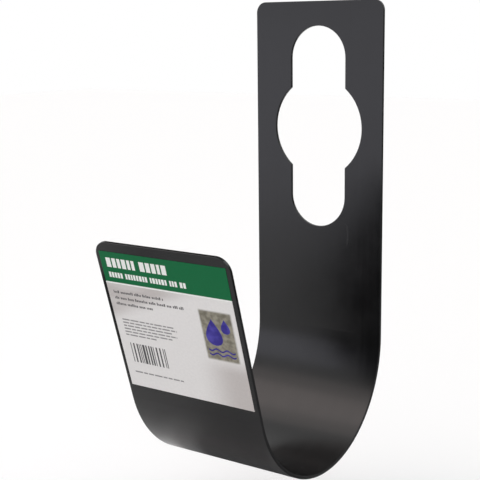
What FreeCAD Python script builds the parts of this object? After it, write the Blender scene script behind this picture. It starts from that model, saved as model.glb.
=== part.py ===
import FreeCAD, Part
import math
import os
import Sketcher

# Hose hanger: a steel strip folded into a J that hangs on a garden tap and carries a coiled hose.
# Millimetres. X runs across the strip, +Y points at the wall and +Z is up.
# The origin lies on the axis of the tap neck that the hanger hangs on, in the plane of its wall side.

# Driving dimensions: name, value, meaning
SIZES = [
    ("strip_width", 70.0, "width of the strip"),
    ("sheet_thickness", 1.5, "gauge of the sheet"),
    ("bend_radius", 50.0, "inside radius of the bend that carries the hose"),
    ("lip_lean", 16.5, "lean of the lip away from the wall, in degrees from upright"),
    ("lip_length", 77.5, "straight length of the lip above the bend"),
    ("seat_to_top", 26.5, "tap axis up to the top edge of the back plate"),
    ("seat_to_bend", 132.0, "tap axis down to the start of the bend"),
    ("hole_diameter", 48.0, "round middle of the tap hole, which passes over the tap"),
    ("slot_width", 30.0, "slots above and below the round middle, which sit on the tap neck"),
    ("slot_reach", 33.0, "centre of the round middle to the centre of each slot's round end"),
    ("hole_corner_radius", 0.6, "corners where the slots run into the round middle"),
    ("plate_corner_radius", 5.0, "top corners of the back plate"),
    ("lip_corner_radius", 6.5, "top corners of the lip"),
    ("edge_radius", 0.25, "softened edges of the cut and painted sheet"),
    ("label_thickness", 0.12, "label paper with its adhesive"),
    ("label_side_margin", 2.0, "bare strip at each side of the label"),
    ("label_tip_margin", 4.2, "bare lip above the label"),
    ("label_bend_margin", 7.3, "bare lip between the label and the bend"),
]

# Places on a sketch element, and the numbers of a sketch's own origin and upright axis
START, END, CENTRE = range(1, 4)
ORIGIN_INDEX = -1
UPRIGHT_INDEX = -2

# Faces that meet at a smaller angle, in degrees, run on smoothly
SMOOTH_ANGLE = 20.0
LENGTH_MATCH = 1e-6


def make_sheet(doc):
    """Put the driving dimensions in a spreadsheet, each in a cell of its own name."""
    sheet = doc.addObject("Spreadsheet::Sheet", "sizes")
    for row, (alias, value, meaning) in enumerate(SIZES, start=1):
        sheet.set(f"A{row}", meaning)
        sheet.set(f"B{row}", str(value))
        sheet.setAlias(f"B{row}", alias)
    doc.recompute()
    return sheet


def make_body(doc, name):
    """Start an empty body whose label names its piece."""
    body = doc.addObject("PartDesign::Body", name)
    body.Label = name
    return body


def add_sketch(body, name, role):
    """Start an empty sketch on one of the body's own origin planes."""
    plane = next(item for item in body.Origin.OriginFeatures if item.Role == role)
    sketch = body.newObject("Sketcher::SketchObject", name)
    sketch.AttachmentSupport = (plane, [""])
    sketch.MapMode = "FlatFace"
    return sketch


def add_line(sketch, start, end):
    """Draw a straight stretch between two points."""
    return sketch.addGeometry(Part.LineSegment(start, end), False)


def add_arc(sketch, centre, radius, first, last):
    """Draw an arc anticlockwise between two angles in radians."""
    circle = Part.Circle(centre, FreeCAD.Vector(0, 0, 1), radius)
    return sketch.addGeometry(Part.ArcOfCircle(circle, first, last), False)


def constrain(sketch, rules):
    """Tie the elements of a sketch to each other."""
    for rule in rules:
        sketch.addConstraint(Sketcher.Constraint(*rule))


def dimension(sketch, name, expression, rule, value):
    """Give a sketch one size and bind it to the spreadsheet."""
    index = sketch.addConstraint(Sketcher.Constraint(*rule, value))
    sketch.renameConstraint(index, name)
    sketch.setExpression(f"Constraints.{name}", expression)


def draw_side_profile(body, sheet):
    """Draw the J of the strip as seen from its side, with Y to the right and Z up."""
    lean = math.radians(sheet.lip_lean)
    inner_radius = sheet.bend_radius
    outer_radius = inner_radius + sheet.sheet_thickness
    centre = FreeCAD.Vector(-outer_radius, -sheet.seat_to_bend)
    outward = FreeCAD.Vector(-math.cos(lean), -math.sin(lean))
    up_lip = FreeCAD.Vector(-math.sin(lean), math.cos(lean))
    bend_first, bend_last = math.pi + lean, 2 * math.pi

    rear_top = FreeCAD.Vector(0, sheet.seat_to_top)
    rear_foot = FreeCAD.Vector(0, -sheet.seat_to_bend)
    front_top = FreeCAD.Vector(-sheet.sheet_thickness, sheet.seat_to_top)
    front_foot = FreeCAD.Vector(-sheet.sheet_thickness, -sheet.seat_to_bend)
    outer_foot = centre + outward * outer_radius
    inner_foot = centre + outward * inner_radius
    outer_tip = outer_foot + up_lip * sheet.lip_length
    inner_tip = inner_foot + up_lip * sheet.lip_length

    sketch = add_sketch(body, "side_profile", "YZ_Plane")
    rear = add_line(sketch, rear_top, rear_foot)
    outer_bend = add_arc(sketch, centre, outer_radius, bend_first, bend_last)
    lip_outer = add_line(sketch, outer_foot, outer_tip)
    tip = add_line(sketch, outer_tip, inner_tip)
    lip_inner = add_line(sketch, inner_tip, inner_foot)
    inner_bend = add_arc(sketch, centre, inner_radius, bend_first, bend_last)
    front = add_line(sketch, front_foot, front_top)
    top = add_line(sketch, front_top, rear_top)
    constrain(sketch, [
        ("Tangent", rear, END, outer_bend, END),
        ("Tangent", outer_bend, START, lip_outer, START),
        ("Coincident", lip_outer, END, tip, START),
        ("Coincident", tip, END, lip_inner, START),
        ("Tangent", lip_inner, END, inner_bend, START),
        ("Tangent", inner_bend, END, front, START),
        ("Coincident", front, END, top, START),
        ("Coincident", top, END, rear, START),
        ("Coincident", outer_bend, CENTRE, inner_bend, CENTRE),
        ("PointOnObject", rear, START, UPRIGHT_INDEX),
        ("Vertical", rear),
        ("Vertical", front),
        ("Horizontal", top),
        ("Perpendicular", tip, lip_outer),
        ("Parallel", lip_inner, lip_outer),
    ])
    dimension(sketch, "gauge", "sizes.sheet_thickness",
              ("DistanceX", top, START, top, END), sheet.sheet_thickness)
    dimension(sketch, "bend", "sizes.bend_radius", ("Radius", inner_bend), inner_radius)
    dimension(sketch, "lip", "sizes.lip_length", ("Distance", lip_outer), sheet.lip_length)
    dimension(sketch, "lip_angle", "(90 + sizes.lip_lean) * 1 deg",
              ("Angle", lip_outer), math.pi / 2 + lean)
    dimension(sketch, "top_height", "sizes.seat_to_top",
              ("DistanceY", ORIGIN_INDEX, START, rear, START), sheet.seat_to_top)
    dimension(sketch, "bend_depth", "sizes.seat_to_bend",
              ("DistanceY", outer_bend, CENTRE, ORIGIN_INDEX, START), sheet.seat_to_bend)
    return sketch


def draw_tap_hole(body, sheet):
    """Draw the tap hole from the front: a round middle with a round-ended slot above and below."""
    half_slot = sheet.slot_width / 2
    hole_radius = sheet.hole_diameter / 2
    opening = math.asin(half_slot / hole_radius)
    rise = hole_radius * math.cos(opening)
    middle = FreeCAD.Vector(0, -sheet.slot_reach)
    upper_centre = FreeCAD.Vector(0, 0)
    lower_centre = middle * 2
    to_side = FreeCAD.Vector(half_slot, 0)
    to_rise = FreeCAD.Vector(0, rise)
    quarter = math.pi / 2

    sketch = add_sketch(body, "tap_hole", "XZ_Plane")
    upper_end = add_arc(sketch, upper_centre, half_slot, 0, 2 * quarter)
    left_upper = add_line(sketch, upper_centre - to_side, middle - to_side + to_rise)
    left_round = add_arc(sketch, middle, hole_radius, quarter + opening, 3 * quarter - opening)
    left_lower = add_line(sketch, middle - to_side - to_rise, lower_centre - to_side)
    lower_end = add_arc(sketch, lower_centre, half_slot, 2 * quarter, 4 * quarter)
    right_lower = add_line(sketch, lower_centre + to_side, middle + to_side - to_rise)
    right_round = add_arc(sketch, middle, hole_radius, opening - quarter, quarter - opening)
    right_upper = add_line(sketch, middle + to_side + to_rise, upper_centre + to_side)
    constrain(sketch, [
        ("Tangent", upper_end, END, left_upper, START),
        ("Coincident", left_upper, END, left_round, START),
        ("Coincident", left_round, END, left_lower, START),
        ("Tangent", left_lower, END, lower_end, START),
        ("Tangent", lower_end, END, right_lower, START),
        ("Coincident", right_lower, END, right_round, START),
        ("Coincident", right_round, END, right_upper, START),
        ("Tangent", right_upper, END, upper_end, START),
        ("Coincident", upper_end, CENTRE, ORIGIN_INDEX, START),
        ("Coincident", left_round, CENTRE, right_round, CENTRE),
        ("PointOnObject", left_round, CENTRE, UPRIGHT_INDEX),
        ("PointOnObject", lower_end, CENTRE, UPRIGHT_INDEX),
        ("Equal", upper_end, lower_end),
        ("Equal", left_round, right_round),
    ])
    constrain(sketch, [("Vertical", side) for side in (left_upper, left_lower, right_lower, right_upper)])
    dimension(sketch, "slot_radius", "sizes.slot_width / 2", ("Radius", upper_end), half_slot)
    dimension(sketch, "round_radius", "sizes.hole_diameter / 2", ("Radius", left_round), hole_radius)
    dimension(sketch, "upper_reach", "sizes.slot_reach",
              ("DistanceY", left_round, CENTRE, upper_end, CENTRE), sheet.slot_reach)
    dimension(sketch, "lower_reach", "sizes.slot_reach",
              ("DistanceY", lower_end, CENTRE, left_round, CENTRE), sheet.slot_reach)
    return sketch


def is_sharp(shape, edge):
    """Tell whether the two faces along an edge meet at an angle."""
    middle = edge.valueAt(edge.getParameterByLength(edge.Length / 2))
    normals = []
    for face in shape.ancestorsOfType(edge, Part.Face):
        normals.append(face.normalAt(*face.Surface.parameter(middle)))
    return len(normals) == 2 and math.degrees(normals[0].getAngle(normals[1])) > SMOOTH_ANGLE


def add_fillet(body, base, name, alias, wanted):
    """Round every sharp edge that a test picks out, by a radius from the spreadsheet."""
    body.Document.recompute()
    shape = base.Shape
    edges = [
        f"Edge{number}"
        for number, edge in enumerate(shape.Edges, start=1)
        if is_sharp(shape, edge) and wanted(edge)
    ]
    fillet = body.newObject("PartDesign::Fillet", name)
    fillet.Base = (base, edges)
    fillet.setExpression("Radius", f"sizes.{alias}")
    return fillet


def make_strip(doc, sheet):
    """Fold the strip: padded J profile, tap hole, rounded corners and softened edges."""
    body = make_body(doc, "hanger_strip")
    profile = draw_side_profile(body, sheet)
    fold = body.newObject("PartDesign::Pad", "fold")
    fold.Profile = profile
    fold.SideType = "Symmetric"
    fold.setExpression("Length", "sizes.strip_width")

    doc.recompute()
    hole = draw_tap_hole(body, sheet)
    pierce = body.newObject("PartDesign::Pocket", "pierce")
    pierce.Profile = hole
    pierce.Reversed = True
    pierce.setExpression("Length", "2 * sizes.sheet_thickness")
    doc.recompute()
    if pierce.Shape.Volume > fold.Shape.Volume - sheet.slot_width * sheet.slot_reach * sheet.sheet_thickness:
        raise RuntimeError("the tap hole doesn't pass through the back plate")

    def through_sheet(edge):
        return isinstance(edge.Curve, Part.Line) and abs(edge.Length - sheet.sheet_thickness) < LENGTH_MATCH

    def at_strip_side(edge):
        return abs(edge.CenterOfMass.x) > sheet.strip_width / 2 - LENGTH_MATCH

    def on_plate(edge):
        return edge.CenterOfMass.y > -sheet.bend_radius

    corners = add_fillet(body, pierce, "plate_corners", "plate_corner_radius",
                         lambda edge: through_sheet(edge) and at_strip_side(edge) and on_plate(edge))
    corners = add_fillet(body, corners, "lip_corners", "lip_corner_radius",
                         lambda edge: through_sheet(edge) and at_strip_side(edge) and not on_plate(edge))
    corners = add_fillet(body, corners, "hole_corners", "hole_corner_radius",
                         lambda edge: through_sheet(edge) and not at_strip_side(edge))
    add_fillet(body, corners, "soft_edges", "edge_radius", lambda edge: not through_sheet(edge))
    return body


def make_label(doc, sheet):
    """Lay the label on the outer face of the lip, between the bend and the tip."""
    body = make_body(doc, "product_label")
    half_width = sheet.strip_width / 2 - sheet.label_side_margin
    height = sheet.lip_length - sheet.label_tip_margin - sheet.label_bend_margin
    lower_left = FreeCAD.Vector(-half_width, 0)
    lower_right = FreeCAD.Vector(half_width, 0)
    upper_right = FreeCAD.Vector(half_width, height)
    upper_left = FreeCAD.Vector(-half_width, height)

    sketch = add_sketch(body, "label_outline", "XY_Plane")
    lower = add_line(sketch, lower_left, lower_right)
    right = add_line(sketch, lower_right, upper_right)
    upper = add_line(sketch, upper_right, upper_left)
    left = add_line(sketch, upper_left, lower_left)
    constrain(sketch, [
        ("Coincident", lower, END, right, START),
        ("Coincident", right, END, upper, START),
        ("Coincident", upper, END, left, START),
        ("Coincident", left, END, lower, START),
        ("Vertical", right),
        ("Vertical", left),
        ("Horizontal", upper),
        ("Symmetric", lower, START, lower, END, ORIGIN_INDEX, START),
    ])
    dimension(sketch, "label_width", "sizes.strip_width - 2 * sizes.label_side_margin",
              ("DistanceX", lower, START, lower, END), 2 * half_width)
    dimension(sketch, "label_height",
              "sizes.lip_length - sizes.label_tip_margin - sizes.label_bend_margin",
              ("DistanceY", right, START, right, END), height)
    paper = body.newObject("PartDesign::Pad", "paper")
    paper.Profile = sketch
    paper.setExpression("Length", "sizes.label_thickness")

    outer_radius = "(sizes.bend_radius + sizes.sheet_thickness)"
    cos_lean = "cos(sizes.lip_lean * 1 deg)"
    sin_lean = "sin(sizes.lip_lean * 1 deg)"
    body.Placement = FreeCAD.Placement(
        FreeCAD.Vector(0, 0, 0), FreeCAD.Rotation(FreeCAD.Vector(1, 0, 0), 90 + sheet.lip_lean))
    body.setExpression("Placement.Base.y",
                       f"-{outer_radius} * (1 + {cos_lean}) - sizes.label_bend_margin * {sin_lean}")
    body.setExpression("Placement.Base.z",
                       f"-sizes.seat_to_bend - {outer_radius} * {sin_lean}"
                       f" + sizes.label_bend_margin * {cos_lean}")
    body.setExpression("Placement.Rotation.Angle", "(90 + sizes.lip_lean) * 1 deg")
    return body


def check(doc, pieces):
    """Stop where an object failed to compute or a piece has no sound solid."""
    failed = [item.Label for item in doc.Objects if {"Invalid", "Error"} & set(item.State)]
    unsound = [piece.Label for piece in pieces if piece.Shape.isNull() or not piece.Shape.isValid()]
    if failed or unsound:
        raise RuntimeError(f"failed objects {failed}, unsound pieces {unsound}")


document = FreeCAD.newDocument("hose_hanger")
size_sheet = make_sheet(document)
hanger_pieces = [make_strip(document, size_sheet), make_label(document, size_sheet)]
document.recompute()
check(document, hanger_pieces)

os.makedirs("parts", exist_ok=True)
for hanger_piece in hanger_pieces:
    hanger_piece.Shape.exportStep(f"parts/{hanger_piece.Label}.step")
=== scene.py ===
import math
import random
import bpy
from mathutils import Matrix, Vector
from mathutils.geometry import delaunay_2d_cdt


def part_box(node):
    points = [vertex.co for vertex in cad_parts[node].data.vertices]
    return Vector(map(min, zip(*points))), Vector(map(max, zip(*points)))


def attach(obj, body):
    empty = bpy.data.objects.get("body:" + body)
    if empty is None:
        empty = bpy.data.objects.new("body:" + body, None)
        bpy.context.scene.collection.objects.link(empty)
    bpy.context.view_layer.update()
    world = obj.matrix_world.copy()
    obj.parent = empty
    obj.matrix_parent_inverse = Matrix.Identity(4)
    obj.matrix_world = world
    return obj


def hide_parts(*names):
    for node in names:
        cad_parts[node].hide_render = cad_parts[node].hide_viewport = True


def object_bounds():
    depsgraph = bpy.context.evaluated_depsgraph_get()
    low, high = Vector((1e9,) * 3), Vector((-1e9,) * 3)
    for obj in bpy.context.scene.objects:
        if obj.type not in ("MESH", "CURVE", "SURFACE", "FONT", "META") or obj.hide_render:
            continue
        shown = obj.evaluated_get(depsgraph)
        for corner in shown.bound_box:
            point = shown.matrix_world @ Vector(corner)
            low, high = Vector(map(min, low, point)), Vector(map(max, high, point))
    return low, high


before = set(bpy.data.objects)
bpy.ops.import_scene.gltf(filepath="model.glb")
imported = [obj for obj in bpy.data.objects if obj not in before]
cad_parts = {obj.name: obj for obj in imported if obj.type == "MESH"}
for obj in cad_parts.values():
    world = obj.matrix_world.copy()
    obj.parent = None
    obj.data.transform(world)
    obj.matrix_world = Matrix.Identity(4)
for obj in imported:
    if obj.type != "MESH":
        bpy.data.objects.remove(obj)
cad_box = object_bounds()

MILLIMETRE = 0.001
WHITE = (1, 1, 1, 1)
BLACK = (0, 0, 0, 1)

# Noise: its usual detail, and the stretch that most of its values lie in
NOISE_DETAIL = 3.0
NOISE_RANGE = (0.3, 0.7)

# Camera: place in metres, turns in degrees, lens and sensor in millimetres
CAMERA_PLACE = Vector((0.28029, -0.45382, 0.01346))
CAMERA_AZIMUTH = 35.873
CAMERA_PITCH = 10.774
CAMERA_ROLL = -0.694
CAMERA_LENS = 82.80
SENSOR_WIDTH = 36.0

# Floor and surroundings, lengths in metres
FLOOR_HALF_WIDTH = 3.0
FLOOR_DROP = 40 * MILLIMETRE
FLOOR_WHITE = (0.972, 0.972, 0.972, 1)
MATT_ROUGHNESS = 0.9
WORLD_SEEN = 1.0
WORLD_LIGHT = 0.55

# Corners of a rectangle as signs of its half sizes
CORNER_SIGNS = ((-1, -1), (1, -1), (1, 1), (-1, 1))

# Suns: the way towards each, its colour, and its strength with its width in degrees
KEY_TOWARDS = (-0.546, -0.34, 0.765)
KEY_COLOUR = (1, 0.85, 0.81)
KEY_CORE = (0.15, 26)
KEY_SPREAD = (0.5, 50)
TOP_TOWARDS = (0.35, 0.2, 0.9)
TOP_COLOUR = (0.95, 0.99, 1)
TOP_SPREAD = (1.15, 70)

# Soft box: its middle, width and height in metres
SIDE_BOX_PLACE = Vector((-0.38, -0.54, -0.05))
SIDE_BOX_SIZE = (0.6, 0.26)
SIDE_BOX_RADIANCE = 0.88
SIDE_BOX_COLOUR = (0.81, 0.81, 1)

# Edge flag, upright at the right, seen only in reflections, where it paints a dark reflection into the
# cut edge: its middle, width and height in metres
EDGE_FLAG_PLACE = Vector((0.23, 0.2, -0.06))
EDGE_FLAG_SIZE = (0.24, 0.24)

# Plate flag, upright at the left of the lip, seen only in reflections, where it paints a dark zone into
# the plate's reflection: its depth, and its outline across and up, in metres
PLATE_FLAG_DEPTH = -0.13
PLATE_FLAG_OUTLINE = (
    (-0.038, -0.171),
    (-0.038, -0.093),
    (-0.051, -0.1),
    (-0.064, -0.134),
    (-0.068, -0.171),
)

# Rim flag, close above the lip, seen only in reflections, where it paints a dark reflection into the
# rim: its ends across, and the depth and height of its long edges, in metres
RIM_FLAG_SIDES = (-0.043, 0.034)
RIM_FLAG_FRONT = (-0.1205, -0.0678)
RIM_FLAG_BACK = (-0.1145, -0.0669)

# Level cards just under the bend: how far below it the grey ones and the white one lie, in metres
GREY_CARD_GAP = 0.05 * MILLIMETRE
WHITE_CARD_GAP = 0.1 * MILLIMETRE

# Front card, seen only in reflections: its grey is painted shade on the ground that the lip and the bend
# mirror; its outline and where it fades, in metres
FRONT_CARD_OUTLINE = (
    (-0.45, -0.85),
    (0.25, -0.85),
    (0.25, -0.13),
    (0.02, -0.13),
    (0.02, -0.05),
    (-0.45, -0.05),
)
FRONT_CARD_GREY = (0.43, 0.43, 0.44, 1)
FRONT_CARD_SLANT = 0.51
FRONT_CARD_SLANT_FADE = (-0.06, -0.015)
FRONT_CARD_MIDDLE_FADE = (-0.15, -0.08)
FRONT_CARD_MIDDLE_COVER = 0.35
FRONT_CARD_RIGHT_FADE = (0.05, 0.25)
FRONT_CARD_FAR_FADE = (-0.85, -0.55)
FRONT_CARD_NEAR_FADE = (-0.18, -0.13)
FRONT_CARD_NEAR_TURN = 0.06

# Painted light: the front card glows under the bend, though it is no lamp, to brighten the paint's
# reflection there; its strength and where it fades, in metres
GLOW_STRENGTH = 0.22
GLOW_LEFT_FADE = (-0.045, -0.036)
GLOW_RIGHT_FADE = (-0.026, -0.016)
GLOW_FAR_FADE = (-0.125, -0.1)
GLOW_NEAR_FADE = (-0.064, -0.052)

# Edge card, seen only in reflections: its grey is painted shade on the ground beside the strip, which
# the cut edge and the bend mirror; its outline and where it fades, in metres
EDGE_CARD_OUTLINE = ((0.02, -0.125), (0.6, -0.125), (0.6, 0.6), (0.02, 0.6))
EDGE_CARD_GREY = (0.24, 0.24, 0.245, 1)
EDGE_CARD_SIDE_FADE = (0.02, 0.045)
EDGE_CARD_FRONT_FADE = (-0.125, -0.095)

# Black paint: noise scales in patches per metre
PAINT_DEEP = (0.0017, 0.0017, 0.002, 1)
PAINT_PALE = (0.0034, 0.0034, 0.0037, 1)
PAINT_ROUGHNESS = (0.2, 0.265)
PAINT_IOR = 1.437
STREAK_SCALE = (520, 9, 9)
STREAK_SHARE = 0.35
CLOUD_SCALE = 60
TONE_RANGE = (0.35, 0.65)
SPECK_SCALE = 1900
SPECK_DETAIL = 1.0
SPECK_RANGE = (0.62, 0.8)
SPECK_ROUGHNESS = 0.03
PEEL_SCALE = 1100
PEEL_DETAIL = 2.0
PEEL_HEIGHT = 0.02 * MILLIMETRE
PEEL_STRENGTH = 0.12

# Faint rub mark on the plate's front, in metres; it bows by its rise squared
MARK_ACROSS = 0.017
MARK_HEIGHT = -0.084
MARK_HALF_LENGTH = 0.0068
MARK_HALF_WIDTH = 0.0008
MARK_BOW = 27.0
MARK_BACK = -0.001
MARK_FRONT = -0.004
MARK_TONE = (0.018, 0.018, 0.0185, 1)

# Label: its lean, and its thickness in millimetres, as in the solid that it stands for
LABEL_LEAN = math.radians(16.5)
LABEL_THICKNESS = 0.12
CUT_TOLERANCE = 1e-4

# Print: all places in millimetres, across from the label's middle line and down from its top edge
PRINT_SEED = 11
PRINT_LEFT = -30
HEADER_DEPTH = 14.3
HAIRLINE_DEPTH = 0.7

# Rows in the header: right end, base line and height of each
HEADER_ROWS = ((4, 7.2, 4.4), (12, 12, 2.5))

# Rows of grey text, and of fine print below them: right ends, first base line, step and height
TEXT_ENDS = (-3, 7, -9)
TEXT_BASE = 19.6
TEXT_STEP = 2.8
TEXT_HEIGHT = 1.35
FINE_LEFT = -29
FINE_ENDS = (-1, 0.5, -2.5, 0, -3, -12)
FINE_BASE = 32.6
FINE_STEP = 1.5
FINE_HEIGHT = 0.65

# Upright bars, and the row at the foot
BARS_LEFT = -28
BARS_RIGHT = -9
BARS_TOP = 43.8
BARS_BOTTOM = 53.4
BAR_WIDTHS = (0.45, 0.45, 0.8, 1.25)
BAR_GAPS = (0.5, 0.5, 0.8, 1.1)
FOOT_END = -2
FOOT_BASE = 58.9
FOOT_HEIGHT = 0.7

# Picture panel, and how far its edges fade
PANEL_LEFT = 14.0
PANEL_RIGHT = 31.3
PANEL_TOP = 20.1
PANEL_BOTTOM = 44.3
PANEL_FEATHER = 1.3

# Drops: place across, place down and height of each; then breadth as a share, and how it tapers
DROPS = ((20.2, 30.6, 12.4), (26.7, 27.2, 6.6))
DROP_BREADTH = 0.46
DROP_TAPER = 1.3
DROP_STEPS = 28

# Ripples below the drops
RIPPLE_LEFT = 16
RIPPLE_RIGHT = 29.4
RIPPLE_PLACES = (38.6, 40.6)
RIPPLE_LIFT = 0.55
RIPPLE_THICKNESS = 0.75
RIPPLE_WAVES = 2.5
RIPPLE_STEPS = 36

# Blocks that stand for a text: sizes as shares of a row's height, and how many make a group
CAPITALS = (1.0,)
SMALL_LETTERS = (0.7, 0.7, 1.0)
BLOCK_WIDTHS = (0.34, 0.6)
BLOCK_GAP = 0.17
GROUP_GAP = 0.6
GROUP_COUNTS = (3, 8)

# Dashes that stand for fine print, as shares of a row's height
DASH_LENGTHS = (2.5, 7)
DASH_GAP = 0.8

# Paper: its two tones, and the grey wash's places in millimetres
PAPER_WHITE = (0.71, 0.695, 0.678, 1)
PAPER_GREY = (0.5, 0.468, 0.45, 1)
PAPER_ROUGHNESS = 0.45
WASH_SLANT = 0.38
WASH_FADE = (13.0, 22.5)
WASH_STREAK_SCALE = (30, 190, 30)
WASH_STREAK_DETAIL = 1.0
WASH_STREAK_RANGE = (0.35, 0.65)
WASH_STREAK_COVER = (0.7, 1.1)
CORNER_ACROSS = (6, 28)
CORNER_DOWN = (41, 50)

# Plain inks: colour and roughness
PLAIN_INKS = {
    "green": ((0.0015, 0.124, 0.04, 1), 0.4),
    "white": ((0.78, 0.79, 0.76, 1), 0.45),
    "grey": ((0.115, 0.112, 0.112, 1), 0.45),
    "pale": ((0.27, 0.265, 0.262, 1), 0.45),
    "black": ((0.085, 0.083, 0.085, 1), 0.42),
}

# Mottled inks of the picture panel
STONE_PALE = (0.29, 0.27, 0.214, 1)
STONE_DARK = (0.158, 0.146, 0.112, 1)
STONE_SCALE = 420
STONE_DETAIL = 5.0
STONE_RANGE = (0.32, 0.68)
STONE_ROUGHNESS = 0.42
WATER_BLUE = (0.034, 0.025, 0.22, 1)
WATER_PALE = (0.075, 0.062, 0.36, 1)
WATER_SCALE = 190
WATER_DETAIL = 2.0
WATER_RANGE = (0.42, 0.75)
WATER_ROUGHNESS = 0.4

# Surface of all print: noise scales in patches per metre
PRINT_SPECULAR = 0.12
MOTTLE_SCALE = 900
MOTTLE = (0.98, 1.02)
SHEEN_SCALE = 160
SHEEN_SPREAD = 0.05
FIBRE_SCALE = (700, 2600, 2600)
FIBRE_HEIGHT = 0.01 * MILLIMETRE
FIBRE_STRENGTH = 0.2


def new_material(name):
    """Start a node material and return it with its node tree and its main shader."""
    material = bpy.data.materials.new(name)
    material.use_nodes = True
    tree = material.node_tree
    return material, tree, tree.nodes["Principled BSDF"]


def feed(tree, socket, value):
    """Give an input its value, either a plain one or another node's output."""
    if isinstance(value, bpy.types.NodeSocket):
        tree.links.new(value, socket)
    else:
        socket.default_value = value


def add_math(tree, operation, *values):
    """Join numbers or sockets by one operation and return the result's socket."""
    node = tree.nodes.new("ShaderNodeMath")
    node.operation = operation
    for socket, value in zip(node.inputs, values):
        feed(tree, socket, value)
    return node.outputs[0]


def add_product(tree, first, *others):
    """Multiply several numbers or sockets."""
    product = first
    for factor in others:
        product = add_math(tree, "MULTIPLY", product, factor)
    return product


def add_range(tree, value, low, high, to_low=0.0, to_high=1.0):
    """Ease a socket's value from one range into another."""
    node = tree.nodes.new("ShaderNodeMapRange")
    node.interpolation_type = "SMOOTHSTEP"
    node.inputs["From Min"].default_value = low
    node.inputs["From Max"].default_value = high
    node.inputs["To Min"].default_value = to_low
    node.inputs["To Max"].default_value = to_high
    tree.links.new(value, node.inputs["Value"])
    return node.outputs["Result"]


def fade_in(tree, place, ends):
    """Zero before a stretch, one after it."""
    return add_range(tree, place, *ends)


def fade_out(tree, place, ends):
    """One before a stretch, zero after it."""
    return add_range(tree, place, *ends, 1.0, 0.0)


def add_mix(tree, factor, first, second):
    """Blend two colours, given as values or sockets, by a factor socket."""
    node = tree.nodes.new("ShaderNodeMix")
    node.data_type = "RGBA"
    tree.links.new(factor, node.inputs["Factor"])
    for name, colour in (("A_Color", first), ("B_Color", second)):
        socket = next(s for s in node.inputs if s.identifier == name)
        feed(tree, socket, colour)
    return next(s for s in node.outputs if s.identifier == "Result_Color")


def object_place(tree, scale):
    """The place on the object in metres, stretched by a scale along each axis."""
    coordinates = tree.nodes.new("ShaderNodeTexCoord")
    mapping = tree.nodes.new("ShaderNodeMapping")
    mapping.inputs["Scale"].default_value = scale
    tree.links.new(coordinates.outputs["Object"], mapping.inputs["Vector"])
    return mapping.outputs["Vector"]


def split_place(tree, scale=(1, 1, 1)):
    """The stretched place on the object as three sockets."""
    split = tree.nodes.new("ShaderNodeSeparateXYZ")
    tree.links.new(object_place(tree, scale), split.inputs[0])
    return split.outputs["X"], split.outputs["Y"], split.outputs["Z"]


def even(scale):
    """The same scale along each axis."""
    return (scale, scale, scale)


def add_noise(tree, scale, detail=NOISE_DETAIL):
    """Noise whose patches are one over the scale in metres wide along each axis."""
    node = tree.nodes.new("ShaderNodeTexNoise")
    node.inputs["Scale"].default_value = 1.0
    node.inputs["Detail"].default_value = detail
    tree.links.new(object_place(tree, scale), node.inputs["Vector"])
    return node.outputs["Fac"]


def add_bump(tree, shader, height, distance, strength):
    """Raise the surface by a height socket; the distance is in metres."""
    node = tree.nodes.new("ShaderNodeBump")
    node.inputs["Distance"].default_value = distance
    node.inputs["Strength"].default_value = strength
    tree.links.new(height, node.inputs["Height"])
    tree.links.new(node.outputs["Normal"], shader.inputs["Normal"])


def rub_mark(tree):
    """One along a short bowed line on the plate's front, fading to zero around it."""
    across, depth, height = split_place(tree)
    rise = add_math(tree, "SUBTRACT", height, MARK_HEIGHT)
    bow = add_product(tree, rise, rise, MARK_BOW)
    aside = add_math(tree, "ADD", add_math(tree, "SUBTRACT", across, MARK_ACROSS), bow)
    return add_product(
        tree,
        fade_out(tree, add_math(tree, "ABSOLUTE", aside), (0.0, MARK_HALF_WIDTH)),
        fade_out(tree, add_math(tree, "ABSOLUTE", rise), (MARK_HALF_LENGTH / 2, MARK_HALF_LENGTH)),
        add_math(tree, "GREATER_THAN", depth, MARK_FRONT),
        add_math(tree, "LESS_THAN", depth, MARK_BACK),
    )


def make_paint():
    """Satin black powder coat: orange peel, faint streaks and clouds, fine specks and one rub mark."""
    material, tree, shader = new_material("black_paint")
    streaks = add_product(tree, add_noise(tree, STREAK_SCALE), STREAK_SHARE)
    clouds = add_product(tree, add_noise(tree, even(CLOUD_SCALE)), 1 - STREAK_SHARE)
    tone = add_math(tree, "ADD", streaks, clouds)
    base = add_mix(tree, add_range(tree, tone, *TONE_RANGE), PAINT_DEEP, PAINT_PALE)
    base = add_mix(tree, rub_mark(tree), base, MARK_TONE)
    tree.links.new(base, shader.inputs["Base Color"])
    specks = add_noise(tree, even(SPECK_SCALE), SPECK_DETAIL)
    dull = add_range(tree, specks, *SPECK_RANGE, 0.0, SPECK_ROUGHNESS)
    roughness = add_math(tree, "ADD", add_range(tree, tone, *NOISE_RANGE, *PAINT_ROUGHNESS), dull)
    tree.links.new(roughness, shader.inputs["Roughness"])
    shader.inputs["IOR"].default_value = PAINT_IOR
    peel = add_noise(tree, even(PEEL_SCALE), PEEL_DETAIL)
    add_bump(tree, shader, peel, PEEL_HEIGHT, PEEL_STRENGTH)
    return material


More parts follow.
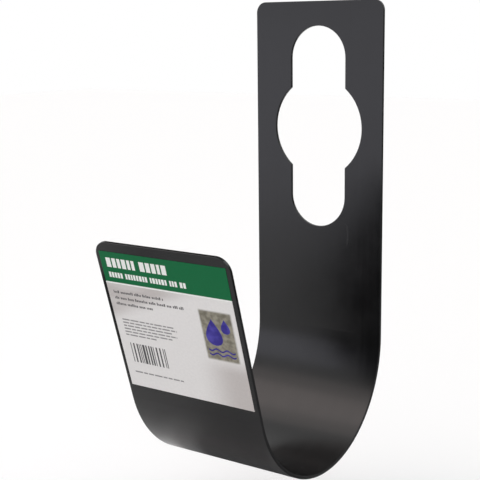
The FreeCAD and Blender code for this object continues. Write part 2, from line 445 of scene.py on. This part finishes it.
def finish_print(tree, shader, colour, roughness):
    """Give a printed field its colour, with the paper's mottling, sheen and fibres."""
    mottle = add_noise(tree, even(MOTTLE_SCALE))
    shade = tree.nodes.new("ShaderNodeHueSaturation")
    tree.links.new(add_range(tree, mottle, *NOISE_RANGE, *MOTTLE), shade.inputs["Value"])
    feed(tree, shade.inputs["Color"], colour)
    tree.links.new(shade.outputs["Color"], shader.inputs["Base Color"])
    sheen = add_noise(tree, even(SHEEN_SCALE))
    sheen = add_range(tree, sheen, *NOISE_RANGE, roughness - SHEEN_SPREAD, roughness + SHEEN_SPREAD)
    tree.links.new(sheen, shader.inputs["Roughness"])
    shader.inputs["Specular IOR Level"].default_value = PRINT_SPECULAR
    fibres = add_noise(tree, FIBRE_SCALE)
    add_bump(tree, shader, fibres, FIBRE_HEIGHT, FIBRE_STRENGTH)


def label_places(tree):
    """Sockets for the place on the label in millimetres: across, and down from its top edge."""
    per_metre = 1 / MILLIMETRE
    across, down, _ = split_place(tree, (per_metre, -per_metre, per_metre))
    return across, down


def paper_colour(tree):
    """White paper, washed with grey under the header's left half and in the lower right corner."""
    across, down = label_places(tree)
    slant = add_math(tree, "ADD", down, add_product(tree, across, WASH_SLANT))
    streaks = add_noise(tree, WASH_STREAK_SCALE, WASH_STREAK_DETAIL)
    streaks = add_range(tree, streaks, *WASH_STREAK_RANGE, *WASH_STREAK_COVER)
    upper = add_product(tree, fade_out(tree, slant, WASH_FADE), streaks)
    corner = add_product(tree, fade_in(tree, across, CORNER_ACROSS), fade_in(tree, down, CORNER_DOWN))
    return add_mix(tree, add_math(tree, "ADD", upper, corner), PAPER_WHITE, PAPER_GREY)


def edge_fade(tree, place, low, high):
    """One inside a stretch of the label, fading to zero at both its ends."""
    half = (high - low) / 2
    offset = add_math(tree, "ABSOLUTE", add_math(tree, "SUBTRACT", place, (low + high) / 2))
    return fade_out(tree, offset, (half - PANEL_FEATHER, half))


def stone_colour(tree):
    """Mottled stone that fades into the paper at the picture panel's edges."""
    grain = add_noise(tree, even(STONE_SCALE), STONE_DETAIL)
    stone = add_mix(tree, add_range(tree, grain, *STONE_RANGE), STONE_DARK, STONE_PALE)
    across, down = label_places(tree)
    fade = add_product(
        tree,
        edge_fade(tree, across, PANEL_LEFT, PANEL_RIGHT),
        edge_fade(tree, down, PANEL_TOP, PANEL_BOTTOM),
    )
    return add_mix(tree, fade, paper_colour(tree), stone)


def water_colour(tree):
    """Blue that is paler in soft patches."""
    patches = add_noise(tree, even(WATER_SCALE), WATER_DETAIL)
    return add_mix(tree, add_range(tree, patches, *WATER_RANGE), WATER_BLUE, WATER_PALE)


def make_plain_ink(name, colour, roughness):
    """Ink of one colour."""
    material, tree, shader = new_material(name)
    finish_print(tree, shader, colour, roughness)
    return material


def make_mixed_ink(name, find_colour, roughness):
    """Paper or ink whose colour changes from place to place."""
    material, tree, shader = new_material(name)
    finish_print(tree, shader, find_colour(tree), roughness)
    return material


def label_inks():
    """The label's materials by the name of the field."""
    inks = {"paper": make_mixed_ink("label_paper", paper_colour, PAPER_ROUGHNESS)}
    for name, (colour, roughness) in PLAIN_INKS.items():
        inks[name] = make_plain_ink(f"label_{name}", colour, roughness)
    inks["stone"] = make_mixed_ink("label_stone", stone_colour, STONE_ROUGHNESS)
    inks["water"] = make_mixed_ink("label_water", water_colour, WATER_ROUGHNESS)
    return inks


def rectangle(left, top, right, bottom):
    """An upright rectangle's corners."""
    return [(left, top), (right, top), (right, bottom), (left, bottom)]


def block_row(rng, left, right, base, height, tops):
    """Small upright blocks in groups along one line, like the grey of a text seen from afar."""
    blocks = []
    start = left
    count = rng.randint(*GROUP_COUNTS)
    while True:
        end = start + height * rng.uniform(*BLOCK_WIDTHS)
        if end > right:
            return blocks
        blocks.append(rectangle(start, base - height * rng.choice(tops), end, base))
        count -= 1
        start = end + height * (BLOCK_GAP if count else GROUP_GAP)
        count = count or rng.randint(*GROUP_COUNTS)


def dash_row(rng, left, right, base, height):
    """Thin dashes of uneven length along one line."""
    dashes = []
    start = left
    while start < right:
        end = min(right, start + height * rng.uniform(*DASH_LENGTHS))
        dashes.append(rectangle(start, base - height, end, base))
        start = end + height * DASH_GAP
    return dashes


def upright_bars(rng, left, right, top, bottom):
    """A row of upright bars of uneven width."""
    bars = []
    start = left
    while start < right:
        end = start + rng.choice(BAR_WIDTHS)
        bars.append(rectangle(start, top, end, bottom))
        start = end + rng.choice(BAR_GAPS)
    return bars


def drop(across, down, height):
    """A water drop with its point at the top."""
    outline = []
    for i in range(DROP_STEPS):
        turn = 2 * math.pi * i / DROP_STEPS
        side = DROP_BREADTH * height * math.sin(turn) * math.sin(turn / 2) ** DROP_TAPER
        outline.append((across + side, down - height / 2 * math.cos(turn)))
    return outline


def ripple(down):
    """A wavy stripe across the picture panel."""
    upper = []
    for i in range(RIPPLE_STEPS + 1):
        share = i / RIPPLE_STEPS
        across = RIPPLE_LEFT + share * (RIPPLE_RIGHT - RIPPLE_LEFT)
        upper.append((across, down + RIPPLE_LIFT * math.sin(2 * math.pi * RIPPLE_WAVES * share)))
    lower = [(x, y + RIPPLE_THICKNESS) for x, y in reversed(upper)]
    return upper + lower


def label_fields(half_width, depth):
    """The printed fields as pairs of ink and outline, each over the ones before it."""
    rng = random.Random(PRINT_SEED)
    fields = []

    def add(ink, *outlines):
        fields.extend((ink, outline) for outline in outlines)

    hairline_bottom = HEADER_DEPTH + HAIRLINE_DEPTH
    add("paper", rectangle(-half_width, 0, half_width, depth))
    add("green", rectangle(-half_width, 0, half_width, HEADER_DEPTH))
    add("white", rectangle(-half_width, HEADER_DEPTH, half_width, hairline_bottom))
    for right, base, height in HEADER_ROWS:
        add("white", *block_row(rng, PRINT_LEFT, right, base, height, CAPITALS))
    for row, right in enumerate(TEXT_ENDS):
        base = TEXT_BASE + TEXT_STEP * row
        add("grey", *block_row(rng, PRINT_LEFT, right, base, TEXT_HEIGHT, SMALL_LETTERS))
    for row, right in enumerate(FINE_ENDS):
        add("pale", *dash_row(rng, FINE_LEFT, right, FINE_BASE + FINE_STEP * row, FINE_HEIGHT))
    add("black", *upright_bars(rng, BARS_LEFT, BARS_RIGHT, BARS_TOP, BARS_BOTTOM))
    add("pale", *dash_row(rng, FINE_LEFT, FOOT_END, FOOT_BASE, FOOT_HEIGHT))
    add("stone", rectangle(PANEL_LEFT, PANEL_TOP, PANEL_RIGHT, PANEL_BOTTOM))
    add("water", *(drop(*place) for place in DROPS))
    add("water", *(ripple(place) for place in RIPPLE_PLACES))
    return fields


def cut_into_fields(fields):
    """Cut the sheet along all outlines; return corners, faces and each face's topmost ink."""
    points = []
    outlines = []
    for _, outline in fields:
        outlines.append(list(range(len(points), len(points) + len(outline))))
        points += [Vector((x, -y)) for x, y in reversed(outline)]
    places, _, faces, _, _, owners = delaunay_2d_cdt(points, [], outlines, 0, CUT_TOLERANCE)
    corners = [(place.x * MILLIMETRE, place.y * MILLIMETRE, 0) for place in places]
    inks = [fields[max(owner)][0] for owner in owners]
    return corners, faces, inks


def make_label():
    """One sheet of paper on the lip, its front cut into printed fields so that each has its own ink."""
    low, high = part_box("product_label")
    across = Vector((1, 0, 0))
    up = Vector((0, -math.sin(LABEL_LEAN), math.cos(LABEL_LEAN)))
    outward = across.cross(up)
    thickness = LABEL_THICKNESS * MILLIMETRE
    top = high.z - thickness * math.sin(LABEL_LEAN)
    half_width = (high.x - low.x) / 2 / MILLIMETRE
    depth = (top - low.z) / math.cos(LABEL_LEAN) / MILLIMETRE
    top_edge = Vector(((low.x + high.x) / 2, low.y, top))

    corners, faces, face_inks = cut_into_fields(label_fields(half_width, depth))
    inks = label_inks()
    order = list(inks)
    mesh = bpy.data.meshes.new("printed_label")
    mesh.from_pydata(corners, [], faces)
    for ink in inks.values():
        mesh.materials.append(ink)
    for polygon, ink in zip(mesh.polygons, face_inks):
        polygon.material_index = order.index(ink)

    label = bpy.data.objects.new("printed_label", mesh)
    turn = Matrix((across, up, outward)).transposed().to_4x4()
    label.matrix_world = Matrix.Translation(top_edge) @ turn
    bpy.context.scene.collection.objects.link(label)
    sheet = label.modifiers.new("sheet", "SOLIDIFY")
    sheet.thickness = thickness
    sheet.offset = -1
    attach(label, "root")
    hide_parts("product_label")


def new_matt_material(name):
    """Start a material without gloss, for the stage."""
    material, tree, shader = new_material(name)
    shader.inputs["Roughness"].default_value = MATT_ROUGHNESS
    shader.inputs["Specular IOR Level"].default_value = 0.0
    return material, tree, shader


def add_plane(name, corners, material):
    """A flat stage piece."""
    mesh = bpy.data.meshes.new(name)
    mesh.from_pydata(corners, [], [range(len(corners))])
    mesh.materials.append(material)
    plane = bpy.data.objects.new(name, mesh)
    bpy.context.scene.collection.objects.link(plane)
    return plane


def add_card(name, corners, material):
    """A flat stage piece that shows in reflections alone."""
    plane = add_plane(name, corners, material)
    plane.visible_camera = False
    plane.visible_diffuse = False
    plane.visible_shadow = False


def floor_corners(drop):
    """Corners of a wide level square, at a distance below the bend."""
    level = cad_box[0][2] - drop
    return [(a * FLOOR_HALF_WIDTH, b * FLOOR_HALF_WIDTH, level) for a, b in CORNER_SIGNS]


def make_floor():
    """A wide pale floor, which the hanger hangs clear of, and a white card that the bend mirrors."""
    material, _, shader = new_matt_material("floor")
    shader.inputs["Base Color"].default_value = FLOOR_WHITE
    add_plane("floor", floor_corners(FLOOR_DROP), material)
    add_card("white_card", floor_corners(WHITE_CARD_GAP), material)


def make_flags():
    """Black cards, seen only in reflections, that paint dark reflections into the cut edge at the right,
    the plate and the rim of the lip; they block no light.
    """
    material, _, shader = new_matt_material("flag")
    shader.inputs["Base Color"].default_value = BLACK
    width, height = EDGE_FLAG_SIZE
    sideways = Vector((EDGE_FLAG_PLACE.y, -EDGE_FLAG_PLACE.x, 0)).normalized() * width / 2
    upward = Vector((0, 0, height / 2))
    corners = [EDGE_FLAG_PLACE + a * sideways + b * upward for a, b in CORNER_SIGNS]
    add_card("edge_flag", corners, material)
    corners = [(x, PLATE_FLAG_DEPTH, z) for x, z in PLATE_FLAG_OUTLINE]
    add_card("plate_flag", corners, material)
    left, right = RIM_FLAG_SIDES
    front = [(x, *RIM_FLAG_FRONT) for x in (left, right)]
    back = [(x, *RIM_FLAG_BACK) for x in (right, left)]
    add_card("rim_flag", front + back, material)


def front_cover(tree, across, ahead):
    """How much of the front card's grey, a painted shade in the lip's and the bend's reflections, shows:
    most inside its slanted left side, less further right.
    """
    slant = add_math(tree, "SUBTRACT", across, add_product(tree, ahead, FRONT_CARD_SLANT))
    reach = add_math(tree, "MAXIMUM", add_math(tree, "ADD", across, FRONT_CARD_NEAR_TURN), 0.0)
    near = add_math(tree, "SUBTRACT", ahead, reach)
    return add_product(
        tree,
        fade_in(tree, slant, FRONT_CARD_SLANT_FADE),
        add_range(tree, across, *FRONT_CARD_MIDDLE_FADE, 1.0, FRONT_CARD_MIDDLE_COVER),
        fade_out(tree, across, FRONT_CARD_RIGHT_FADE),
        fade_in(tree, ahead, FRONT_CARD_FAR_FADE),
        fade_out(tree, near, FRONT_CARD_NEAR_FADE),
    )


def front_glow(tree, across, ahead):
    """Painted light: the front card glows, though it is no lamp, under the bend's left half, where it
    lies in shade, so that the paint there mirrors a brighter ground.
    """
    return add_product(
        tree,
        fade_in(tree, across, GLOW_LEFT_FADE),
        fade_out(tree, across, GLOW_RIGHT_FADE),
        fade_in(tree, ahead, GLOW_FAR_FADE),
        fade_out(tree, ahead, GLOW_NEAR_FADE),
        GLOW_STRENGTH,
    )


def edge_cover(tree, across, ahead):
    """How much of the edge card's grey, a painted shade in the reflections, shows: it comes up softly
    beside the strip.
    """
    return add_product(
        tree,
        fade_in(tree, across, EDGE_CARD_SIDE_FADE),
        fade_in(tree, ahead, EDGE_CARD_FRONT_FADE),
    )


def make_grey_card(name, outline, grey, find_cover, find_glow=None):
    """A level card, seen only in reflections, that fades from the white card's tone into a grey of
    painted shade, and may glow in part with painted light.
    """
    material, tree, shader = new_matt_material(name)
    across, ahead, _ = split_place(tree)
    cover = find_cover(tree, across, ahead)
    tree.links.new(add_mix(tree, cover, FLOOR_WHITE, grey), shader.inputs["Base Color"])
    if find_glow:
        shader.inputs["Emission Color"].default_value = WHITE
        tree.links.new(find_glow(tree, across, ahead), shader.inputs["Emission Strength"])
    level = cad_box[0][2] - GREY_CARD_GAP
    add_card(name, [(x, y, level) for x, y in outline], material)


def make_grey_cards():
    """Grey cards with painted shade, which the lip, the bend and the cut edge mirror."""
    make_grey_card("front_card", FRONT_CARD_OUTLINE, FRONT_CARD_GREY, front_cover, front_glow)
    make_grey_card("edge_card", EDGE_CARD_OUTLINE, EDGE_CARD_GREY, edge_cover)


def make_world():
    """A white studio: full white to the eye and in reflections, less as light."""
    world = bpy.data.worlds.new("studio")
    bpy.context.scene.world = world
    world.use_nodes = True
    tree = world.node_tree
    background = tree.nodes["Background"]
    background.inputs["Color"].default_value = WHITE
    rays = tree.nodes.new("ShaderNodeLightPath")
    seen = add_math(tree, "MAXIMUM", rays.outputs["Is Camera Ray"], rays.outputs["Is Glossy Ray"])
    seen = add_math(tree, "MAXIMUM", seen, rays.outputs["Is Transmission Ray"])
    strength = add_range(tree, seen, 0.0, 1.0, WORLD_LIGHT, WORLD_SEEN)
    tree.links.new(strength, background.inputs["Strength"])


def link_lamp(name, data, place, towards):
    """Put a lamp in the scene, shining against the direction that leads towards it."""
    lamp = bpy.data.objects.new(name, data)
    lamp.location = place
    lamp.rotation_euler = (-Vector(towards)).to_track_quat("-Z", "Y").to_euler()
    bpy.context.scene.collection.objects.link(lamp)


def make_sun(name, towards, colour, strength, width):
    """A far, wide and soft light; its width is in degrees."""
    data = bpy.data.lights.new(name, "SUN")
    data.energy = strength
    data.angle = math.radians(width)
    data.color = colour
    link_lamp(name, data, (0, 0, 0), towards)


def make_side_box():
    """A low soft box at the front left, which the back plate mirrors."""
    width, height = SIDE_BOX_SIZE
    data = bpy.data.lights.new("side_box", "AREA")
    data.shape = "RECTANGLE"
    data.size = width
    data.size_y = height
    data.energy = SIDE_BOX_RADIANCE * math.pi * width * height
    data.color = SIDE_BOX_COLOUR
    link_lamp("side_box", data, SIDE_BOX_PLACE, (SIDE_BOX_PLACE.x, SIDE_BOX_PLACE.y, 0))


def make_lights():
    """A warm key from the upper left, a wide light from above and the soft box."""
    make_sun("key_core", KEY_TOWARDS, KEY_COLOUR, *KEY_CORE)
    make_sun("key_spread", KEY_TOWARDS, KEY_COLOUR, *KEY_SPREAD)
    make_sun("top_light", TOP_TOWARDS, TOP_COLOUR, *TOP_SPREAD)
    make_side_box()


def make_camera():
    """Look at the hanger from its front right, a little from above."""
    azimuth, pitch, roll = (math.radians(a) for a in (CAMERA_AZIMUTH, CAMERA_PITCH, CAMERA_ROLL))
    level = Vector((math.cos(azimuth), math.sin(azimuth), 0))
    ahead = Vector((-math.sin(azimuth), math.cos(azimuth), 0))
    forward = math.cos(pitch) * ahead - math.sin(pitch) * Vector((0, 0, 1))
    upward = level.cross(forward)
    right = math.cos(roll) * level + math.sin(roll) * upward
    up = -math.sin(roll) * level + math.cos(roll) * upward
    data = bpy.data.cameras.new("camera")
    data.lens = CAMERA_LENS
    data.sensor_width = SENSOR_WIDTH
    camera = bpy.data.objects.new("camera", data)
    turn = Matrix((right, up, -forward)).transposed().to_4x4()
    camera.matrix_world = Matrix.Translation(CAMERA_PLACE) @ turn
    bpy.context.scene.collection.objects.link(camera)
    bpy.context.scene.camera = camera


bpy.context.scene.view_settings.view_transform = "Standard"
make_camera()
make_world()
make_lights()
make_floor()
make_flags()
make_grey_cards()
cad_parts["hanger_strip"].material_slots[0].material = make_paint()
make_label()
